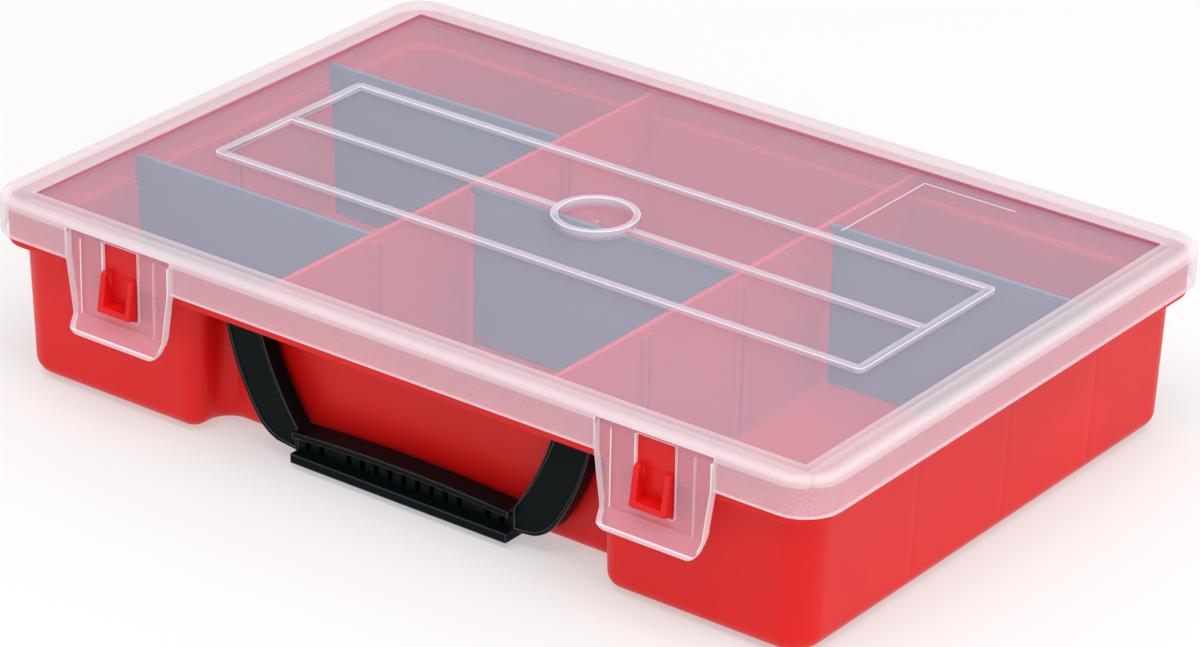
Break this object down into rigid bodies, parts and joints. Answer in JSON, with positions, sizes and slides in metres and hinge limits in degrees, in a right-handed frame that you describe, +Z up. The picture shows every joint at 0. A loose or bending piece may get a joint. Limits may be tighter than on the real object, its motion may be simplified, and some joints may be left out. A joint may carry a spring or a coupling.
{
  "type": "toolbox with tray",
  "caption": "Flat portable organiser case: compartment tray with fixed and lift-out dividers, frosted hinged lid, flexing latch tongues and a swinging bail handle in a front recess.",
  "frame": {"origin": "centre of the case's box on the plane that it rests on", "axes": "+X to the right along the length, seen from the handle side, +Y to the hinge side, +Z up"},
  "size_m": [0.32, 0.2242, 0.0644],
  "materials": {
    "tray_plastic": "semi-gloss",
    "lid_plastic": "frosted translucent",
    "handle_plastic": "satin",
    "divider_plastic": "satin"
  },
  "bodies": {
    "tray": {"tray": "tray_plastic", "divider_left_front": "divider_plastic", "divider_left_rear": "divider_plastic", "divider_middle": "divider_plastic", "divider_right_rear": "divider_plastic"},
    "lid": {"lid": "lid_plastic"},
    "latch_left": {"latch_left": "lid_plastic"},
    "latch_right": {"latch_right": "lid_plastic"},
    "handle": {"handle": "handle_plastic"}
  },
  "joints": [
    {"name": "lid_hinge", "type": "hinge", "parent": "tray", "child": "lid", "pos_m": [0, 0.109, 0.0452], "axis": [-1, 0, 0], "range_deg": [0, 180]},
    {"name": "latch_left_flex", "type": "hinge", "parent": "lid", "child": "latch_left", "pos_m": [-0.103, -0.10705, 0.0608], "axis": [-1, 0, 0], "range_deg": [0, 25], "stiffness_Nm_per_rad": 0.6},
    {"name": "latch_right_flex", "type": "hinge", "parent": "lid", "child": "latch_right", "pos_m": [0.103, -0.10705, 0.0608], "axis": [-1, 0, 0], "range_deg": [0, 25], "stiffness_Nm_per_rad": 0.6},
    {"name": "handle_swing", "type": "hinge", "parent": "tray", "child": "handle", "pos_m": [0, -0.0922, 0.0432], "axis": [-1, 0, 0], "range_deg": [0, 93]}
  ]
}
